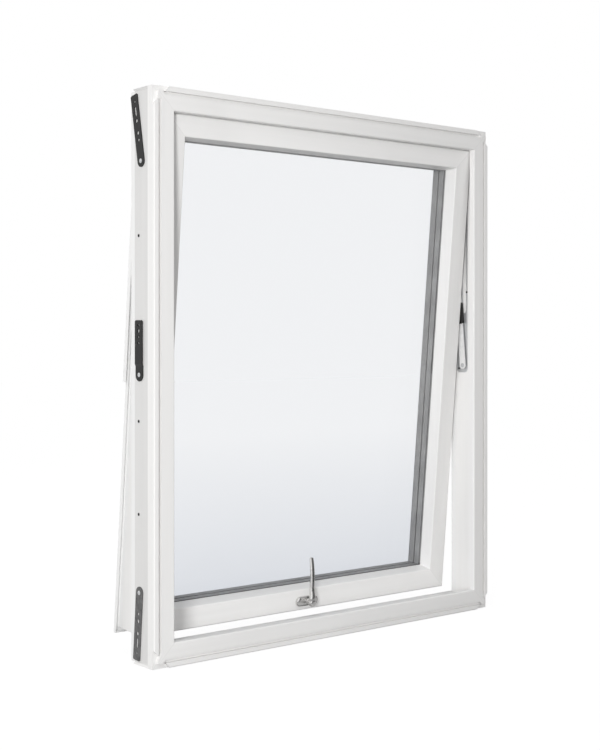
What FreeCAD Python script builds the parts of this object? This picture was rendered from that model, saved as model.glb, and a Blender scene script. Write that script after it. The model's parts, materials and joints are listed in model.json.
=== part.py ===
# Top hung awning window, standing as it is seen from the room: X to the right, Y outwards, Z up.
# The origin is the centre of the sill's underside. Lengths are in millimetres, angles in degrees.
import FreeCAD, Part
import math
import os

from FreeCAD import Vector

# Frame: four timber sides, mitred, with a stop at the room side and a rebate behind it
FRAME_WIDTH = 988.0
FRAME_HEIGHT = 1188.0
FRAME_DEPTH = 94.0
FACE_WIDTH = 50.0
STOP_DEPTH = 15.0
STOP_HEIGHT = 17.0
FRAME_EDGE_ROUND = 3.0

# Groove in the room face that takes the tongue of a window lining. It stops short of the corners, where
# the lip outside it is cut away to the depth of the groove
LINING_GROOVE_INSET = 11.0
LINING_GROOVE_WIDTH = 7.0
LINING_GROOVE_DEPTH = 8.0
LINING_GROOVE_END = 28.0

# Channel along the outer side of each jamb, where the fixing straps lie
CHANNEL_START = 28.0
CHANNEL_DEPTH = 4.0

# Wall of the aluminium sections over the weather side
CLADDING_WALL = 2.0

# Sash: four timber sides, mitred, glazed from outside
SASH_GAP = 9.0
SASH_STOP_GAP = 2.5
SASH_TIMBER_DEPTH = 76.0
SASH_FACE_WIDTH = 49.0
REVEAL_DEPTH = 30.0
REVEAL_SPLAY = 6.0
SASH_EDGE_ROUND = 3.0
SASH_TOP_ROUND = 8.0
GLAZING_REBATE = 18.0
GLASS_EDGE_GAP = 4.0
SASH_CLADDING_DEPTH = 15.0
FLANGE_WIDTH = 11.0
FLANGE_DEPTH = 9.0
FLANGE_BELOW_PIVOT = 50.0
GLASS_BITE = 8.0
SASH_CLADDING_SPLAY = 9.0

# Sealed glass unit and its gaskets
PANE_THICKNESS = 4.0
PANE_GAP = 16.0
SPACER_WIDTH = 14.0
INNER_GASKET_THICKNESS = 2.5
OUTER_GASKET_THICKNESS = 3.0
GASKET_WIDTH = 6.0
GASKET_PROUD = 1.0
STOP_GASKET_WIDTH = 4.0
STOP_GASKET_PROUD = 1.6
STOP_GASKET_ROOT = 3.0

# Cover strips over the upper half of the side gaps
COVER_REACH = 6.0
COVER_LAP = 22.0
COVER_FOOT_BELOW_MIDDLE = 19.0

# Swing gear in the side gaps: a guide at the sash top and an arm at mid-height on each side
OPEN_ANGLE = 5.24
WIDEST_ANGLE = 75.0
GEAR_DEPTH = 50.0
GUIDE_BELOW_TOP = 12.5
ARM_PIVOT_ABOVE_MIDDLE = 11.0
ARM_WIDTH = 18.0
ARM_THICKNESS = 3.0
PIN_DIAMETER = 8.0
PIN_CLEARANCE = 0.3
WASHER_DIAMETER = 13.0
GUIDE_DIAMETER = 12.0
TRACK_WIDTH = 36.0
TRACK_FRONT_MARGIN = 12.0
TRACK_BACK_MARGIN = 5.0
TRACK_THICKNESS = 3.0
TRACK_MARGIN = 14.0
TRACK_FOOT_ROUND = 9.0
SASH_PLATE_WIDTH = 24.0
SASH_PLATE_LENGTH = 120.0
SASH_PLATE_THICKNESS = 3.0
BRAKE_BLOCK_WALL = 2.0
BRAKE_BLOCK_ABOVE_PIVOT = 104.0
BRAKE_BLOCK_LENGTH = 54.0
BRAKE_BLOCK_CORNER_CUT = 3.0

# Lever handle in the middle of the bottom rail, and the lock's face plate
HANDLE_X = 0.0
HANDLE_HEIGHT = 21.5
ROSETTE_LENGTH = 64.0
ROSETTE_WIDTH = 23.0
ROSETTE_THICKNESS = 8.0
NECK_DIAMETER = 14.0
HUB_DIAMETER = 18.0
HUB_LENGTH = 12.0
HUB_CHAMFER = 2.0
LEVER_STANDOFF = 23.0
LEVER_LENGTH = 104.0
LOCK_PLATE_LENGTH = 150.0
LOCK_PLATE_WIDTH = 16.0
LOCK_PLATE_THICKNESS = 3.0

# Fixing straps on the outer sides of the jambs
STRAP_THICKNESS = 2.0
STRAP_WIDTH = 25.0
STRAP_LENGTH = 154.0
STRAP_SLOT_WIDTH = 6.0
STRAP_SLOT_LENGTH = 20.0
STRAP_SLOT_FROM_END = 36.0
STRAP_CORNER_CUT = 2.5
STRAP_SCREW_DEPTH = 59.5
TOP_STRAP_SCREW_DEPTH = 53.0
TOP_STRAP_TILT = 11.0
TOP_STRAP_SCREW_BELOW_TOP = 150.0
BOTTOM_STRAP_TILT = 4.6
BOTTOM_STRAP_SCREW_HEIGHT = 149.0
MIDDLE_STRAP_LENGTH = 126.0
MIDDLE_STRAP_WIDTH = 27.0
MIDDLE_STRAP_SCREW_ABOVE_MIDDLE = 4.0
MIDDLE_STRAP_CRANK = 18.0

# Round holes in the straps: distance from the free end and diameter
STRAP_HOLES = ((15.0, 5.0), (56.0, 8.0), (82.0, 8.0), (97.0, 6.5))
MIDDLE_STRAP_HOLES = ((10.0, 6.0), (22.0, 8.0), (34.5, 6.0), (47.0, 6.0))

# Sections of the lever from root to tip: share of its length, shift to the room, width and thickness
LEVER_SECTIONS = (
    (0.0, 0.0, 17.0, 11.0),
    (0.15, -0.8, 16.0, 11.0),
    (0.28, -4.0, 13.0, 10.0),
    (0.5, -4.5, 12.0, 9.0),
    (0.72, -7.0, 12.0, 8.0),
    (1.0, -12.5, 11.5, 7.0),
)
LEVER_BEVEL = 0.28

# Places worked out from the sizes above
HALF_WIDTH = FRAME_WIDTH / 2
MIDDLE_HEIGHT = FRAME_HEIGHT / 2
TRACK_FRONT = GEAR_DEPTH - TRACK_FRONT_MARGIN
TRACK_BACK = TRACK_FRONT + TRACK_WIDTH
TIMBER_DEPTH = TRACK_BACK + TRACK_BACK_MARGIN
REBATE_INSET = FACE_WIDTH - STOP_HEIGHT
SASH_INSET = REBATE_INSET + SASH_GAP
SASH_HALF = HALF_WIDTH - SASH_INSET
SASH_FOOT = SASH_INSET
SASH_TOP = FRAME_HEIGHT - SASH_INSET
SASH_FACE = STOP_DEPTH + SASH_STOP_GAP
SASH_BACK = SASH_FACE + SASH_TIMBER_DEPTH
SASH_OUTSIDE = SASH_BACK + SASH_CLADDING_DEPTH
GLASS_OPENING = SASH_FACE_WIDTH + REVEAL_SPLAY
GLASS_INSET = GLASS_OPENING - GLAZING_REBATE + GLASS_EDGE_GAP
GLASS_FACE = SASH_FACE + REVEAL_DEPTH + INNER_GASKET_THICKNESS
PANE_PITCH = PANE_THICKNESS + PANE_GAP
GLASS_BACK = GLASS_FACE + 2 * PANE_PITCH + PANE_THICKNESS
CLADDING_INNER = GLASS_INSET + GLASS_BITE
GUIDE_HEIGHT = SASH_TOP - GUIDE_BELOW_TOP
ARM_PIVOT_HEIGHT = MIDDLE_HEIGHT + ARM_PIVOT_ABOVE_MIDDLE
ARM_LENGTH = (GUIDE_HEIGHT - ARM_PIVOT_HEIGHT) / 2
SASH_PIVOT_HEIGHT = ARM_PIVOT_HEIGHT + ARM_LENGTH
FLANGE_TOP = GUIDE_HEIGHT - FLANGE_BELOW_PIVOT
COVER_FOOT = MIDDLE_HEIGHT - COVER_FOOT_BELOW_MIDDLE
REBATE_X = HALF_WIDTH - REBATE_INSET
ARM_X = REBATE_X - (SASH_GAP - ARM_THICKNESS) / 2
FRAME_RING = (HALF_WIDTH, 0.0, FRAME_HEIGHT)
SASH_RING = (SASH_HALF, SASH_FOOT, SASH_TOP)
SIDES = ("left", "right")
OVERRUN = 40.0
FAR = 400.0


def y_at(depth):
    """Y of a point that lies the given depth behind the room face."""
    return depth - FRAME_DEPTH / 2


def outline_face(points, place):
    """Face of a closed outline. A third number in a point rounds that corner."""
    corners = [Vector(point[0], point[1], 0) for point in points]
    radii = [point[2] if len(point) > 2 else 0.0 for point in points]
    stretches = []
    for index, corner in enumerate(corners):
        before = (corners[index - 1] - corner).normalize()
        after = (corners[(index + 1) % len(corners)] - corner).normalize()
        half = before.getAngle(after) / 2
        reach = radii[index] / math.tan(half)
        middle = (before + after).normalize() * (radii[index] / math.sin(half) - radii[index])
        stretches.append((corner + before * reach, corner + middle, corner + after * reach))
    edges = []
    for index, (start, middle, end) in enumerate(stretches):
        spots = [place(spot.x, spot.y) for spot in (start, middle, end)]
        if radii[index] > 0:
            edges.append(Part.Arc(*spots).toShape())
        following = stretches[(index + 1) % len(stretches)][0]
        edges.append(Part.LineSegment(spots[2], place(following.x, following.y)).toShape())
    return Part.Face(Part.Wire(edges))


def box(x_span, depth_span, z_span):
    """Box between two X values, two depths behind the room face and two heights."""
    corner = Vector(x_span[0], y_at(depth_span[0]), z_span[0])
    size = (x_span[1] - x_span[0], depth_span[1] - depth_span[0], z_span[1] - z_span[0])
    return Part.makeBox(*size, corner)


def mirrored(shape):
    """The same piece on the other side of the window."""
    return shape.mirror(Vector(0, 0, 0), Vector(1, 0, 0))


def on_side(side, right_shape):
    """A piece made for the right side, or its mirror image for the left."""
    return right_shape if side == "right" else mirrored(right_shape)


def cross_pin(diameter, x_from, x_to, depth, height):
    """Round pin along X."""
    foot = Vector(x_from, y_at(depth), height)
    return Part.makeCylinder(diameter / 2, x_to - x_from, foot, Vector(1, 0, 0))


def mitre_wedge(side, ring):
    """Prism between the two corner bisectors of one side of a rectangular ring."""
    half, low, high = ring
    deep = half / 2
    outer_x, inner_x = half + OVERRUN, half - deep
    spans = {
        "sill": ((low - OVERRUN, outer_x), (low + deep, inner_x)),
        "head": ((high + OVERRUN, outer_x), (high - deep, inner_x)),
    }
    if side in spans:
        (outer_z, outer_reach), (inner_z, inner_reach) = spans[side]
        outer_edge = [(-outer_reach, outer_z), (outer_reach, outer_z)]
        points = outer_edge + [(inner_reach, inner_z), (-inner_reach, inner_z)]
    else:
        sign = 1 if side == "right" else -1
        points = [
            (sign * outer_x, low - OVERRUN),
            (sign * outer_x, high + OVERRUN),
            (sign * inner_x, high - deep),
            (sign * inner_x, low + deep),
        ]
    face = outline_face(points, lambda x, z: Vector(x, -FAR, z))
    return face.extrude(Vector(0, 2 * FAR, 0))


def ring_side(profile, side, ring):
    """One mitred side of a ring, from a profile of (inset from the ring's edge, depth, round)."""
    half, low, high = ring
    if side in ("sill", "head"):
        up = 1 if side == "sill" else -1
        edge = low if side == "sill" else high
        start = -half - OVERRUN
        face = outline_face(profile, lambda inset, depth: Vector(start, y_at(depth), edge + up * inset))
        run = Vector(2 * (half + OVERRUN), 0, 0)
    else:
        sign = -1 if side == "right" else 1
        foot = low - OVERRUN
        face = outline_face(profile, lambda inset, depth: Vector(sign * (inset - half), y_at(depth), foot))
        run = Vector(0, 0, high - low + 2 * OVERRUN)
    return face.extrude(run).common(mitre_wedge(side, ring))


def closed_ring(ring, insets, depths):
    """Endless rectangular ring between two insets from a ring's edge and two depths."""
    half, low, high = ring
    outer, inner = insets
    body = box((outer - half, half - outer), depths, (low + outer, high - outer))
    return body.cut(box((inner - half, half - inner), depths, (low + inner, high - inner)))


def rounded_bar(x_span, width, length, depth, foot):
    """Upright flat bar with round ends, its lower end's centre at the given depth and height."""
    radius = width / 2
    points = [
        (-radius, -radius, radius * 0.999),
        (radius, -radius, radius * 0.999),
        (radius, length + radius, radius * 0.999),
        (-radius, length + radius, radius * 0.999),
    ]
    face = outline_face(points, lambda across, up: Vector(x_span[0], y_at(depth + across), foot + up))
    return face.extrude(Vector(x_span[1] - x_span[0], 0, 0))


def opened(shape):
    """A piece of the sash carried from the shut place to the opened one."""
    moved = shape.copy()
    moved.rotate(Vector(0, y_at(GEAR_DEPTH), GUIDE_HEIGHT), Vector(1, 0, 0), OPEN_ANGLE)
    moved.translate(Vector(0, 0, -2 * ARM_LENGTH * (1 - math.cos(math.radians(OPEN_ANGLE)))))
    return moved


def swung(shape):
    """An arm carried from the shut place to the opened one."""
    moved = shape.copy()
    moved.rotate(Vector(0, y_at(GEAR_DEPTH), ARM_PIVOT_HEIGHT), Vector(1, 0, 0), -OPEN_ANGLE)
    return moved


def on_room_face(side):
    """Function that places an inset from the frame's edge and a run along one side on the room face."""
    places = {
        "left": lambda inset, run: Vector(inset - HALF_WIDTH, y_at(0), run),
        "right": lambda inset, run: Vector(HALF_WIDTH - inset, y_at(0), run),
        "sill": lambda inset, run: Vector(run - HALF_WIDTH, y_at(0), inset),
        "head": lambda inset, run: Vector(run - HALF_WIDTH, y_at(0), FRAME_HEIGHT - inset),
    }
    return places[side]


def lining_cutters(side):
    """Cutters for the groove in the room face of one side and, open to it, the ends of the lip outside it."""
    near, far = LINING_GROOVE_INSET, LINING_GROOVE_INSET + LINING_GROOVE_WIDTH
    along = FRAME_HEIGHT if side in SIDES else FRAME_WIDTH
    start, slant = LINING_GROOVE_END, LINING_GROOVE_WIDTH
    groove = [(near, start - slant), (far, start), (far, along - start), (near, along - start + slant)]
    past = OVERRUN
    lip_end = [(-past, -past), (near, -past), (near, start), (-past, start + near + past)]
    other_end = [(inset, along - run) for inset, run in lip_end]
    faces = [outline_face(points, on_room_face(side)) for points in (groove, lip_end, other_end)]
    return [face.extrude(Vector(0, LINING_GROOVE_DEPTH, 0)) for face in faces]


def track_span():
    """Lowest and highest point of a hinge track."""
    return ARM_PIVOT_HEIGHT - ARM_WIDTH, GUIDE_HEIGHT + TRACK_MARGIN


def track_blank():
    """Outer form of the right hinge track, which is also its pocket in the jamb."""
    front, back = TRACK_FRONT, TRACK_BACK
    foot, top = track_span()
    points = [(front, foot, TRACK_FOOT_ROUND), (back, foot, TRACK_FOOT_ROUND), (back, top), (front, top)]
    face = outline_face(points, lambda depth, height: Vector(REBATE_X, y_at(depth), height))
    return face.extrude(Vector(TRACK_THICKNESS, 0, 0))


def sash_plate_blank():
    """Outer form of the right sash plate, which is also its pocket in the stile."""
    depths = (GEAR_DEPTH - SASH_PLATE_WIDTH / 2, GEAR_DEPTH + SASH_PLATE_WIDTH / 2)
    heights = (SASH_PIVOT_HEIGHT - SASH_PLATE_LENGTH / 2, SASH_PIVOT_HEIGHT + SASH_PLATE_LENGTH / 2)
    return box((SASH_HALF - SASH_PLATE_THICKNESS, SASH_HALF), depths, heights)


def lock_plate():
    """Face plate of the lock, let into the underside of the bottom rail."""
    middle = (SASH_FACE + SASH_BACK) / 2
    xs = (HANDLE_X - LOCK_PLATE_LENGTH / 2, HANDLE_X + LOCK_PLATE_LENGTH / 2)
    depths = (middle - LOCK_PLATE_WIDTH / 2, middle + LOCK_PLATE_WIDTH / 2)
    return box(xs, depths, (SASH_FOOT, SASH_FOOT + LOCK_PLATE_THICKNESS))


def frame_profile(side):
    """Section of a frame side: room face, stop, rebate and, on a jamb, the strap channel."""
    soft = FRAME_EDGE_ROUND
    points = [
        (0, 0, soft),
        (FACE_WIDTH, 0, soft),
        (FACE_WIDTH, STOP_DEPTH),
        (REBATE_INSET, STOP_DEPTH),
        (REBATE_INSET, TIMBER_DEPTH),
    ]
    if side in SIDES:
        inset = CHANNEL_DEPTH
        return points + [(inset, TIMBER_DEPTH), (inset, CHANNEL_START, soft), (0, CHANNEL_START - inset)]
    return points + [(0, TIMBER_DEPTH)]


def frame_side(side):
    """Timber side of the frame with its groove, its gasket slot and the pocket of its hinge track."""
    timber = ring_side(frame_profile(side), side, FRAME_RING).cut(stop_gasket())
    for cutter in lining_cutters(side):
        timber = timber.cut(cutter)
    if side in SIDES:
        timber = timber.cut(on_side(side, track_blank()))
    return timber


def stop_gasket():
    """Seal round the back of the stop, rooted in a slot in the timber."""
    middle = (FACE_WIDTH + SASH_INSET) / 2
    half, quarter = STOP_GASKET_WIDTH / 2, STOP_GASKET_WIDTH / 4
    bead_depths = (STOP_DEPTH, STOP_DEPTH + STOP_GASKET_PROUD)
    root_depths = (STOP_DEPTH - STOP_GASKET_ROOT, STOP_DEPTH)
    bead = closed_ring(FRAME_RING, (middle - half, middle + half), bead_depths)
    root = closed_ring(FRAME_RING, (middle - quarter, middle + quarter), root_depths)
    return bead.fuse(root)


def frame_cladding(side):
    """Aluminium section over the weather face of one frame side, open towards the timber."""
    wall, outer, inner, back = CLADDING_WALL, CHANNEL_DEPTH, REBATE_INSET, FRAME_DEPTH
    profile = [
        (outer, TIMBER_DEPTH),
        (outer + wall, TIMBER_DEPTH),
        (outer + wall, back - wall),
        (inner - wall, back - wall),
        (inner - wall, TIMBER_DEPTH),
        (inner, TIMBER_DEPTH),
        (inner, back, wall),
        (outer, back, wall),
    ]
    return ring_side(profile, side, FRAME_RING)


def sash_side(side):
    """Timber side of the sash: splayed reveal to the room and a glazing rebate outside."""
    soft = SASH_EDGE_ROUND
    rebate = GLASS_OPENING - GLAZING_REBATE
    profile = [
        (0, SASH_FACE, soft),
        (SASH_FACE_WIDTH, SASH_FACE, soft),
        (GLASS_OPENING, SASH_FACE + REVEAL_DEPTH),
        (rebate, SASH_FACE + REVEAL_DEPTH),
        (rebate, SASH_BACK),
        (0, SASH_BACK),
    ]
    timber = ring_side(profile, side, SASH_RING)
    if side != "sill":
        timber = timber.cut(top_rounding())
    if side in SIDES:
        return timber.cut(on_side(side, sash_plate_blank())).cut(on_side(side, guide_base()))
    return timber.cut(lock_plate()) if side == "sill" else timber


def top_rounding():
    """Cutter that rounds the room-side top edge of the sash, so that it clears the stop as it swings."""
    radius = SASH_TOP_ROUND
    xs = (-SASH_HALF, SASH_HALF)
    block = box(xs, (SASH_FACE, SASH_FACE + radius), (SASH_TOP - radius, SASH_TOP))
    return block.cut(cross_pin(2 * radius, *xs, SASH_FACE + radius, SASH_TOP - radius))


def sash_cladding(side):
    """Aluminium section over the weather face of one sash side, with a lapping flange below the top."""
    wall, back, outside = CLADDING_WALL, SASH_BACK, SASH_OUTSIDE
    flange = 0 if side == "head" else FLANGE_WIDTH
    glass_leg = GLASS_BACK + OUTER_GASKET_THICKNESS
    brow = CLADDING_INNER - SASH_CLADDING_SPLAY
    leg = wall * math.hypot(1, SASH_CLADDING_SPLAY / (outside - glass_leg))
    profile = [
        (-flange, outside, wall),
        (brow, outside, wall),
        (CLADDING_INNER, glass_leg),
        (CLADDING_INNER - leg, glass_leg),
        (brow - leg, outside - wall),
        (wall, outside - wall),
        (wall, back),
        (0, back),
    ]
    if flange:
        lip = outside - FLANGE_DEPTH
        profile += [(0, outside - wall), (wall - flange, outside - wall)]
        profile += [(wall - flange, lip), (-flange, lip)]
    section = ring_side(profile, side, SASH_RING)
    if side in SIDES:
        clear = box((SASH_HALF, FAR + SASH_HALF), (0, FAR), (FLANGE_TOP, FAR + FRAME_HEIGHT))
        section = section.cut(on_side(side, clear))
    return section


def cover_strip():
    """Angle on the right edge of the sash that covers the side gap above the arm's pivot."""
    wall = CLADDING_WALL
    edge = -FLANGE_WIDTH - COVER_REACH
    lip = SASH_OUTSIDE - FLANGE_DEPTH
    points = [
        (edge, SASH_OUTSIDE + wall, wall),
        (edge + COVER_LAP, SASH_OUTSIDE + wall),
        (edge + COVER_LAP, SASH_OUTSIDE),
        (edge + wall, SASH_OUTSIDE),
        (edge + wall, lip),
        (edge, lip),
    ]
    face = outline_face(points, lambda inset, depth: Vector(SASH_HALF - inset, y_at(depth), COVER_FOOT))
    return face.extrude(Vector(0, 0, FLANGE_TOP - COVER_FOOT))


def pane(number):
    """One sheet of the glass unit, counted from the room."""
    half, low, high = SASH_RING
    near = GLASS_FACE + number * PANE_PITCH
    span = half - GLASS_INSET
    return box((-span, span), (near, near + PANE_THICKNESS), (low + GLASS_INSET, high - GLASS_INSET))


def spacer(number):
    """Edge spacer between two sheets of the glass unit."""
    near = GLASS_FACE + number * PANE_PITCH + PANE_THICKNESS
    return closed_ring(SASH_RING, (GLASS_INSET, GLASS_INSET + SPACER_WIDTH), (near, near + PANE_GAP))


def glazing_gasket():
    """Gaskets on the room side and the weather side of the glass unit."""
    inner_edge = GLASS_OPENING + GASKET_PROUD
    room_depths = (SASH_FACE + REVEAL_DEPTH, GLASS_FACE)
    room = closed_ring(SASH_RING, (inner_edge - GASKET_WIDTH, inner_edge), room_depths)
    outer_edge = CLADDING_INNER + GASKET_PROUD
    weather_depths = (GLASS_BACK, GLASS_BACK + OUTER_GASKET_THICKNESS)
    weather = closed_ring(SASH_RING, (outer_edge - GASKET_WIDTH, outer_edge), weather_depths)
    return Part.makeCompound([room, weather])


def hinge_track():
    """Slotted plate in the right jamb with the pin and washer that carry the arm."""
    lowest_guide = ARM_PIVOT_HEIGHT + 2 * ARM_LENGTH * math.cos(math.radians(WIDEST_ANGLE))
    slot_width = GUIDE_DIAMETER + 2 * PIN_CLEARANCE
    plate = (REBATE_X, REBATE_X + TRACK_THICKNESS)
    slot = rounded_bar(plate, slot_width, GUIDE_HEIGHT - lowest_guide, GEAR_DEPTH, lowest_guide)
    pin_end = ARM_X - ARM_THICKNESS - PIN_CLEARANCE
    pin = cross_pin(PIN_DIAMETER, pin_end, REBATE_X, GEAR_DEPTH, ARM_PIVOT_HEIGHT)
    washer = cross_pin(WASHER_DIAMETER, ARM_X + PIN_CLEARANCE, REBATE_X, GEAR_DEPTH, ARM_PIVOT_HEIGHT)
    return track_blank().cut(slot).fuse([pin, washer]).removeSplitter()


def arm_bar():
    """Outer form of the right arm."""
    return rounded_bar((ARM_X - ARM_THICKNESS, ARM_X), ARM_WIDTH, ARM_LENGTH, GEAR_DEPTH, ARM_PIVOT_HEIGHT)


def arm():
    """Right arm, from its pin on the jamb to its pin on the sash."""
    bar = arm_bar()
    hole = PIN_DIAMETER + 2 * PIN_CLEARANCE
    for height in (ARM_PIVOT_HEIGHT, SASH_PIVOT_HEIGHT):
        bar = bar.cut(cross_pin(hole, ARM_X - ARM_THICKNESS, ARM_X, GEAR_DEPTH, height))
    return bar


def brake_block():
    """Brake sleeve round the right arm, a little above its lower pin."""
    wall, cut = BRAKE_BLOCK_WALL, BRAKE_BLOCK_CORNER_CUT
    half = ARM_WIDTH / 2 + wall
    foot = ARM_PIVOT_HEIGHT + BRAKE_BLOCK_ABOVE_PIVOT
    top = foot + BRAKE_BLOCK_LENGTH
    right_edge = [(half - cut, foot), (half, foot + cut), (half, top - cut), (half - cut, top)]
    points = right_edge + [(-across, height) for across, height in reversed(right_edge)]
    start = ARM_X - ARM_THICKNESS - wall
    face = outline_face(points, lambda across, height: Vector(start, y_at(GEAR_DEPTH + across), height))
    return face.extrude(Vector(ARM_THICKNESS + 2 * wall, 0, 0)).cut(arm_bar())


def sash_plate():
    """Plate let into the right edge of the sash with the pin and washer that the arm carries."""
    washer_end = ARM_X - ARM_THICKNESS - PIN_CLEARANCE
    pin = cross_pin(PIN_DIAMETER, SASH_HALF, ARM_X + PIN_CLEARANCE, GEAR_DEPTH, SASH_PIVOT_HEIGHT)
    washer = cross_pin(WASHER_DIAMETER, SASH_HALF, washer_end, GEAR_DEPTH, SASH_PIVOT_HEIGHT)
    return sash_plate_blank().fuse([pin, washer]).removeSplitter()


def guide_base():
    """Foot of the right guide shoe, let into the edge of the sash."""
    return cross_pin(GUIDE_DIAMETER, SASH_HALF - SASH_PLATE_THICKNESS, SASH_HALF, GEAR_DEPTH, GUIDE_HEIGHT)


def guide_shoe():
    """Round shoe at the top of the right stile that runs in the slot of the track."""
    tip = REBATE_X + TRACK_THICKNESS - PIN_CLEARANCE
    return cross_pin(GUIDE_DIAMETER, SASH_HALF - SASH_PLATE_THICKNESS, tip, GEAR_DEPTH, GUIDE_HEIGHT)


def strap_outline(width, length):
    """Strap plan about its screw: round at the screw end, cut corners at the free end."""
    half, free = width / 2, length - width / 2
    cut = STRAP_CORNER_CUT
    return [
        (-half, -half, half * 0.999),
        (half, -half, half * 0.999),
        (half, free - cut),
        (half - cut, free),
        (cut - half, free),
        (-half, free - cut),
    ]


def strap_holes(holes, free, x_span, depth):
    """Cutters for the holes near the free end of a strap whose screw is at height zero."""
    return [cross_pin(size, *x_span, depth, free - reach) for reach, size in holes]


def corner_strap(depth, screw_height, turn):
    """Right-hand strap near a corner, turned about its screw from pointing straight up."""
    channel_floor = HALF_WIDTH - CHANNEL_DEPTH
    xs = (channel_floor, channel_floor + STRAP_THICKNESS)
    points = strap_outline(STRAP_WIDTH, STRAP_LENGTH)
    face = outline_face(points, lambda across, up: Vector(xs[0], y_at(depth + across), up))
    strap = face.extrude(Vector(STRAP_THICKNESS, 0, 0))
    free = STRAP_LENGTH - STRAP_WIDTH / 2
    slot_run = STRAP_SLOT_LENGTH - STRAP_SLOT_WIDTH
    slot_foot = free - STRAP_SLOT_FROM_END - slot_run / 2
    cutters = strap_holes(STRAP_HOLES, free, xs, depth)
    for cutter in cutters + [rounded_bar(xs, STRAP_SLOT_WIDTH, slot_run, depth, slot_foot)]:
        strap = strap.cut(cutter)
    strap.rotate(Vector(0, y_at(depth), 0), Vector(1, 0, 0), turn)
    strap.translate(Vector(0, 0, screw_height))
    return strap


def top_strap():
    """Right-hand strap that leans outwards, up from its screw."""
    return corner_strap(TOP_STRAP_SCREW_DEPTH, FRAME_HEIGHT - TOP_STRAP_SCREW_BELOW_TOP, -TOP_STRAP_TILT)


def bottom_strap():
    """Right-hand strap that leans outwards, down from its screw."""
    return corner_strap(STRAP_SCREW_DEPTH, BOTTOM_STRAP_SCREW_HEIGHT, 180 + BOTTOM_STRAP_TILT)


def middle_strap():
    """Right-hand strap at mid-height, cranked so that its upper part stands off the channel floor."""
    floor = HALF_WIDTH - CHANNEL_DEPTH
    wall, rise = STRAP_THICKNESS, CHANNEL_DEPTH - STRAP_THICKNESS
    half, free = MIDDLE_STRAP_WIDTH / 2, MIDDLE_STRAP_LENGTH - MIDDLE_STRAP_WIDTH / 2
    bend = MIDDLE_STRAP_CRANK
    side_view = [
        (floor, -half),
        (floor + wall, -half),
        (floor + wall, bend),
        (floor + wall + rise, bend + 2 * wall),
        (floor + wall + rise, free),
        (floor + rise, free),
        (floor + rise, bend + 2 * wall),
        (floor, bend),
    ]
    start = y_at(STRAP_SCREW_DEPTH - half)
    body = outline_face(side_view, lambda x, up: Vector(x, start, up)).extrude(Vector(0, 2 * half, 0))
    xs = (floor, HALF_WIDTH)
    points = strap_outline(MIDDLE_STRAP_WIDTH, MIDDLE_STRAP_LENGTH)
    face = outline_face(points, lambda across, up: Vector(xs[0], y_at(STRAP_SCREW_DEPTH + across), up))
    strap = body.common(face.extrude(Vector(xs[1] - xs[0], 0, 0)))
    for cutter in strap_holes(MIDDLE_STRAP_HOLES, free, xs, STRAP_SCREW_DEPTH):
        strap = strap.cut(cutter)
    strap.translate(Vector(0, 0, MIDDLE_HEIGHT + MIDDLE_STRAP_SCREW_ABOVE_MIDDLE))
    return strap


def handle_axis_foot():
    """Point where the handle's axis meets the shut sash's room face."""
    return Vector(HANDLE_X, y_at(SASH_FACE), SASH_FOOT + HANDLE_HEIGHT)


def turned(points, foot):
    """Solid of revolution about the handle's axis, from (stand-off, radius) points."""
    face = outline_face(points, lambda stand_off, radius: foot + Vector(radius, -stand_off, 0))
    return face.revolve(foot, Vector(0, 1, 0), 360)


def handle_rosette():
    """Oval rosette on the bottom rail, which carries the neck of the lever."""
    foot = handle_axis_foot()
    half, radius = ROSETTE_LENGTH / 2, ROSETTE_WIDTH / 2
    soft = radius * 0.999
    points = [(-half, -radius, soft), (half, -radius, soft), (half, radius, soft), (-half, radius, soft)]
    face = outline_face(points, lambda across, up: foot + Vector(across, 0, up))
    return face.extrude(Vector(0, -ROSETTE_THICKNESS, 0))


def lever_section(foot, share, shift, width, thickness):
    """Level section of the lever with bevelled corners."""
    half, deep = width / 2, thickness / 2
    bevel = thickness * LEVER_BEVEL
    quarter = [(half, deep - bevel), (half - bevel, deep)]
    mirrored_quarter = [(-across, out) for across, out in reversed(quarter)]
    front = quarter + mirrored_quarter
    points = front + [(-across, -out) for across, out in front]
    middle = foot + Vector(0, -LEVER_STANDOFF - shift, share * LEVER_LENGTH)
    spots = [middle + Vector(across, -out, 0) for across, out in points]
    return Part.makePolygon(spots + spots[:1])


def handle_lever():
    """Lever standing up: neck, hub and a grip that thins upwards and leans back at the tip."""
    foot = handle_axis_foot()
    neck_radius, hub_radius = NECK_DIAMETER / 2, HUB_DIAMETER / 2
    hub_start = LEVER_STANDOFF - HUB_LENGTH / 2
    hub_end = hub_start + HUB_LENGTH
    neck_start = ROSETTE_THICKNESS + PIN_CLEARANCE
    spindle = [
        (neck_start, 0),
        (neck_start, neck_radius),
        (hub_start, neck_radius),
        (hub_start, hub_radius),
        (hub_end - HUB_CHAMFER, hub_radius),
        (hub_end, hub_radius - HUB_CHAMFER),
        (hub_end, 0),
    ]
    sections = [lever_section(foot, *section) for section in LEVER_SECTIONS]
    grip = Part.makeLoft(sections, True, True)
    return turned(spindle, foot).fuse(grip).removeSplitter()


def frame_pieces():
    """Every fixed piece, by node name."""
    names = {"left": "left_jamb", "right": "right_jamb", "head": "head", "sill": "sill"}
    pieces = {name: frame_side(side) for side, name in names.items()}
    pieces.update({name + "_cladding": frame_cladding(side) for side, name in names.items()})
    pieces["stop_gasket"] = stop_gasket()
    for side in SIDES:
        pieces[side + "_hinge_track"] = on_side(side, hinge_track())
        pieces[side + "_top_strap"] = on_side(side, top_strap())
        pieces[side + "_middle_strap"] = on_side(side, middle_strap())
        pieces[side + "_bottom_strap"] = on_side(side, bottom_strap())
    return pieces


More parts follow.
